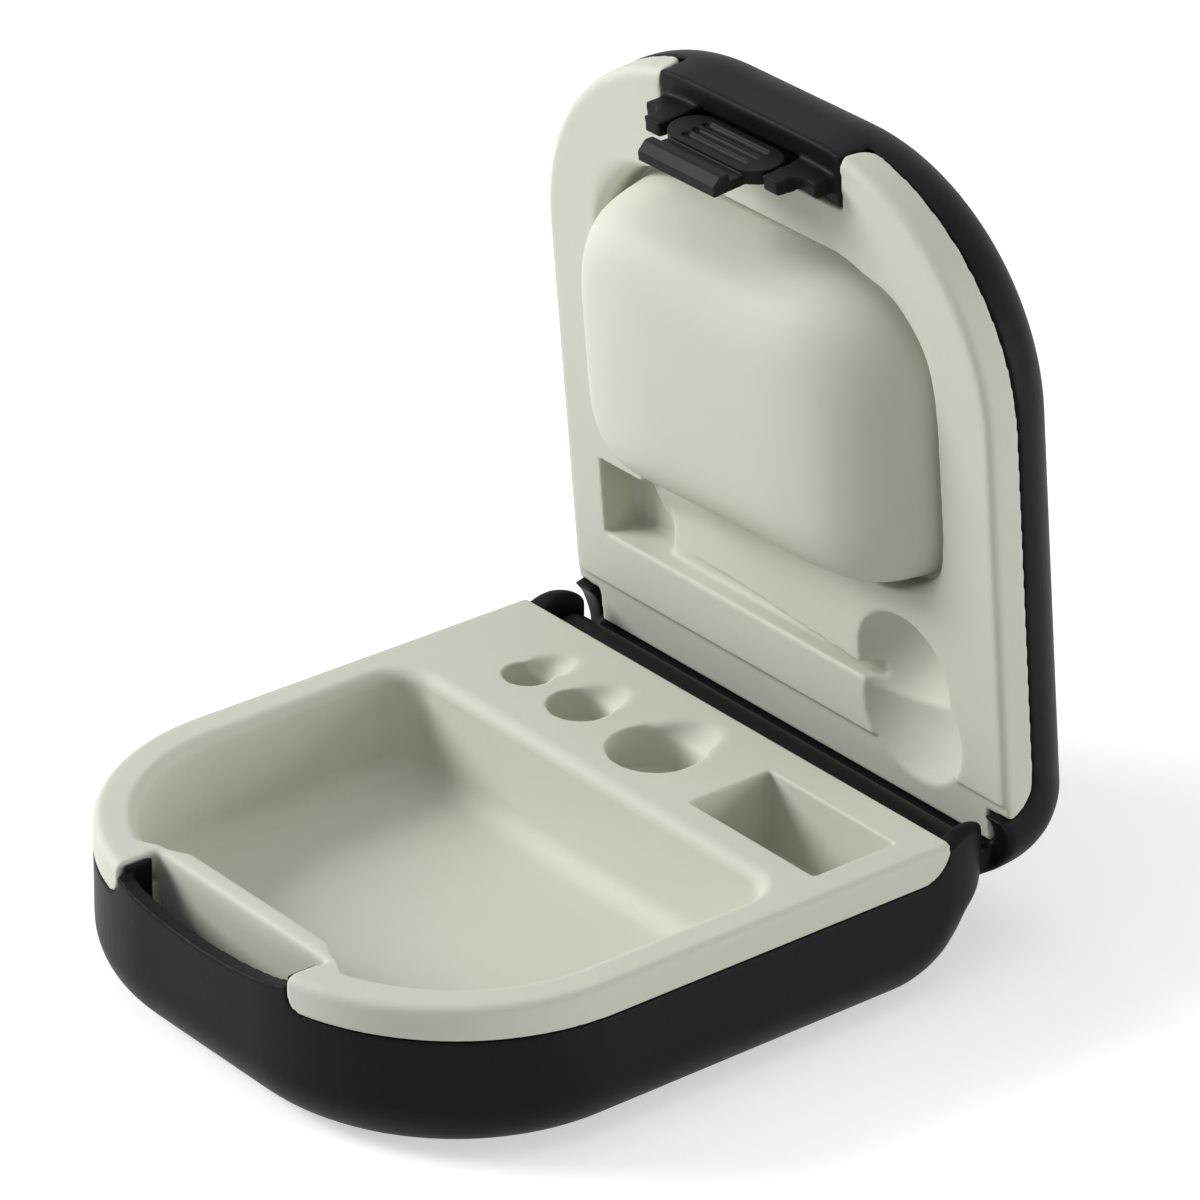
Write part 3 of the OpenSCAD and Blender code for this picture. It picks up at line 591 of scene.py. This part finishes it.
class CASE_OT_liners(bpy.types.Operator):
    """Mould the two pale liners with soft edges and a crowned pillow"""

    bl_idname = "case.liners"
    bl_label = "Liners"

    def execute(self, context):
        scene = context.scene
        mould = scene.case_moulding
        material = liner_finish(scene.case_finish)
        ribbon = (from_front, *RIBBON, mould.ribbon_passes)
        ramps = (from_front, *WELL_RAMPS, mould.ramp_passes)
        pillow = (shut_from_front, *PILLOW, mould.pillow_passes)
        apron = (shut_from_front, *APRON, mould.apron_passes)
        for node, name, body, zones, shaped in (
                ("base_liner", "base_tray_liner", "base", (ribbon, ramps), None),
                ("lid_liner", "lid_pad_liner", "lid", (pillow, apron),
                 lambda points: crowned(points, mould.pillow_rise, mould.pillow_left_roll,
                                        mould.pillow_roll))):
            piece = soft_moulding(node, name, mould.liner_grid, mould.liner_passes,
                                  mould.kept_share, zones, shaped)
            keep_ridge(piece.data, height=0.22 * MM)
            dress(piece, node, body, material)
        return {"FINISHED"}


class CASE_OT_shells(bpy.types.Operator):
    """Mould the two black shells, with their edges and the ends of the hinge rounded"""

    bl_idname = "case.shells"
    bl_label = "Shells"

    def execute(self, context):
        scene = context.scene
        mould = scene.case_moulding
        material = grained_finish("shell_moulding", scene.case_finish.shell,
                                  grain=0.30 * MM, depth=0.02 * MM, dull=0.38)
        hinge_ends = (either_side, *HINGE_ENDS, mould.hinge_passes)
        cups = (shut_either_side, *HINGE_CUPS, mould.cup_passes)
        for node, name, body, zones, shaped, added in (
                ("base_shell", "base_outer_shell", "base", (hinge_ends,), None, latch_cheeks()),
                ("lid_shell", "lid_outer_shell", "lid", (cups,), stepped_wings, ())):
            piece = soft_moulding(node, name, mould.shell_grid, mould.shell_passes,
                                  mould.kept_share, zones, shaped, added)
            keep_ridge(piece.data, height=0.16 * MM)
            dress(piece, node, body, material)
        return {"FINISHED"}


class CASE_OT_latch(bpy.types.Operator):
    """Mould the push button and its hidden retainer"""

    bl_idname = "case.latch"
    bl_label = "Latch"

    def execute(self, context):
        scene = context.scene
        mould = scene.case_moulding
        material = grained_finish("latch_moulding", scene.case_finish.button,
                                  grain=0.22 * MM, depth=0.014 * MM, dull=0.34)
        for node, name, body, shaped in (("latch_button", "latch_push_button", "button", grooved_pad),
                                         ("latch_retainer", "latch_guide_plate", "lid", None)):
            piece = soft_moulding(node, name, mould.button_grid, mould.button_passes,
                                  mould.kept_share, (), shaped)
            keep_ridge(piece.data, height=0.08 * MM)
            dress(piece, node, body, material)
        return {"FINISHED"}


class CASE_OT_steel(bpy.types.Operator):
    """Wind the latch spring and finish the pin and the screws"""

    bl_idname = "case.steel"
    bl_label = "Steel"

    def execute(self, context):
        material = steel_finish(context.scene.case_finish)
        for node in ("hinge_pin", "retainer_screws"):
            part = frame["nodes"][node]
            part.data.materials.clear()
            part.data.materials.append(material)
        spring = wound_spring(context.scene.case_moulding)
        dress(spring, "latch_spring", "lid", material)
        middle, axis, length, _ = spring_path()
        travel = joint_named("button_press")["range_m"][1]
        1 - travel / length
        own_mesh(spring)
        return {"FINISHED"}


def spring_path():
    """The spring's middle, its axis from the button to its seat, its length along that, and its width."""
    low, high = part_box("latch_spring")
    size = high - low
    axis = Vector(joint_named("button_press")["axis"]).normalized()
    upright = axis.cross(Vector((1, 0, 0)))
    return (low + high) / 2, axis, (size.z - size.x * abs(upright.z)) / abs(axis.z), size.x


def wound_spring(mould):
    """The coil behind the button, wound along the button's own path with a round wire."""
    rings, sides = 32, 12
    wire, turns = mould.coil_wire, mould.coil_turns
    middle, axis, length, width = spring_path()
    across = Vector((1, 0, 0))
    upright = axis.cross(across)
    work = bmesh.new()
    loops = []
    for i in range(turns * rings + 1):
        angle = 2 * math.pi * i / rings
        out = across * math.cos(angle) + upright * math.sin(angle)
        rise = (i / (turns * rings) - 0.5) * (length - wire)
        centre = middle + out * (width - wire) / 2 + axis * rise
        loop = []
        for k in range(sides):
            turn = 2 * math.pi * k / sides
            away = out * math.cos(turn) + axis * math.sin(turn)
            loop.append(work.verts.new(centre + away * wire / 2))
        loops.append(loop)
    for first, second in zip(loops, loops[1:]):
        for k in range(sides):
            m = (k + 1) % sides
            work.faces.new((first[k], first[m], second[m], second[k]))
    work.faces.new(loops[0])
    work.faces.new(loops[-1])
    bmesh.ops.recalc_face_normals(work, faces=work.faces)
    mesh = bpy.data.meshes.new("latch_coil_spring")
    work.to_mesh(mesh)
    work.free()
    mesh.shade_smooth()
    coil = bpy.data.objects.new("latch_coil_spring", mesh)
    bpy.context.scene.collection.objects.link(coil)
    return coil


class CASE_OT_stage(bpy.types.Operator):
    """Lay the pale floor, hang the softboxes and set the camera"""

    bl_idname = "case.stage"
    bl_label = "Studio"

    def execute(self, context):
        scene = context.scene
        studio = scene.case_studio
        lay_floor(scene)
        set_world(scene)
        softbox("key_softbox", *KEY_SOFTBOX, studio.key_power)
        softbox("rim_softbox", *RIM_SOFTBOX, studio.rim_power)
        softbox("top_softbox", *TOP_SOFTBOX, studio.top_power)
        set_camera(scene)
        scene.view_settings.view_transform = "Standard"
        return {"FINISHED"}


def seen_white(tree):
    """1 for the rays that see the background itself, straight or in a reflection."""
    path = tree.nodes.new("ShaderNodeLightPath")
    seen, glossy, clear = [Wire(tree, path.outputs[kind])
                           for kind in ("Is Camera Ray", "Is Glossy Ray", "Is Transmission Ray")]
    return (seen + glossy + clear).clamped()


def lay_floor(scene):
    """A wide sheet of pale paper that keeps the shadow of the case."""
    half, paper_grain = 3.0, 4 * MM
    colour = scene.case_finish.floor
    mesh = bpy.data.meshes.new("studio_floor")
    corners = [(-half, -half, 0), (half, -half, 0), (half, half, 0), (-half, half, 0)]
    mesh.from_pydata(corners, [], [(0, 1, 2, 3)])
    floor = bpy.data.objects.new("studio_floor", mesh)
    scene.collection.objects.link(floor)
    material, shader, place = new_material("floor_paper")
    paper = noise(place, paper_grain)
    feed(shader, Base_Color=paper.mix(rgba(colour, 0.99), rgba(colour, 1.01)))
    shader.inputs["Roughness"].default_value = 0.95
    shader.inputs["Specular IOR Level"].default_value = 0.0
    white = seen_white(material.node_tree)
    feed(shader, Emission_Color=white.mix(BLACK, WHITE))
    shader.inputs["Emission Strength"].default_value = scene.case_studio.floor_glow
    mesh.materials.append(material)


def set_world(scene):
    """Even light all round, behind a background that shows white."""
    world = bpy.data.worlds.new("studio_air")
    world.use_nodes = True
    scene.world = world
    tree = world.node_tree
    background = tree.nodes["Background"]
    white = seen_white(tree)
    level = scene.case_studio.ambient
    shade = white.mix((level, level, level, 1), WHITE)
    tree.links.new(shade.socket, background.inputs["Color"])
    background.inputs["Strength"].default_value = 1.0


def softbox(name, place, size, power):
    """A square area lamp that faces the case."""
    light = bpy.data.lights.new(name, "AREA")
    light.size = size
    light.energy = power
    lamp = bpy.data.objects.new(name, light)
    bpy.context.scene.collection.objects.link(lamp)
    lamp.location = place
    aim = Vector(LIT_POINT) - Vector(place)
    lamp.rotation_euler = aim.to_track_quat("-Z", "Y").to_euler()


def set_camera(scene):
    """The camera at its own angle, looking at the target."""
    studio = scene.case_studio
    a, e = studio.azimuth, studio.elevation
    back = Vector((math.sin(a) * math.cos(e), -math.cos(a) * math.cos(e), math.sin(e)))
    right = Vector((math.cos(a), math.sin(a), 0))
    up = back.cross(right)
    turn = Matrix((right, up, back)).transposed() @ Matrix.Rotation(studio.roll, 3, "Z")
    data = bpy.data.cameras.new("photo_camera")
    data.lens = studio.lens
    data.clip_end = 10
    camera = bpy.data.objects.new("photo_camera", data)
    scene.collection.objects.link(camera)
    camera.matrix_world = Matrix.Translation(Vector(studio.target) + back * studio.distance) @ turn.to_4x4()
    scene.camera = camera


class CASE_PT_panel(bpy.types.Panel):
    """Lists the steps that make the case"""

    bl_idname = "CASE_PT_panel"
    bl_label = "Hearing aid case"
    bl_space_type = "VIEW_3D"
    bl_region_type = "UI"
    bl_category = "Case"

    def draw(self, context):
        for step in STEPS:
            self.layout.operator(step.bl_idname)


GROUPS = {"case_moulding": CaseMoulding, "case_finish": CaseFinish, "case_studio": CaseStudio}
STEPS = (CASE_OT_liners, CASE_OT_shells, CASE_OT_latch, CASE_OT_steel, CASE_OT_stage)


def register():
    for kind in (*GROUPS.values(), *STEPS, CASE_PT_panel):
        bpy.utils.register_class(kind)
    for name, group in GROUPS.items():
        setattr(bpy.types.Scene, name, bpy.props.PointerProperty(type=group))


def unregister():
    for name in GROUPS:
        delattr(bpy.types.Scene, name)
    for kind in (CASE_PT_panel, *reversed(STEPS), *reversed(GROUPS.values())):
        bpy.utils.unregister_class(kind)


def main():
    register()
    bpy.ops.case.liners()
    bpy.ops.case.shells()
    bpy.ops.case.latch()
    bpy.ops.case.steel()
    bpy.ops.case.stage()


if __name__ == "__main__":
    main()
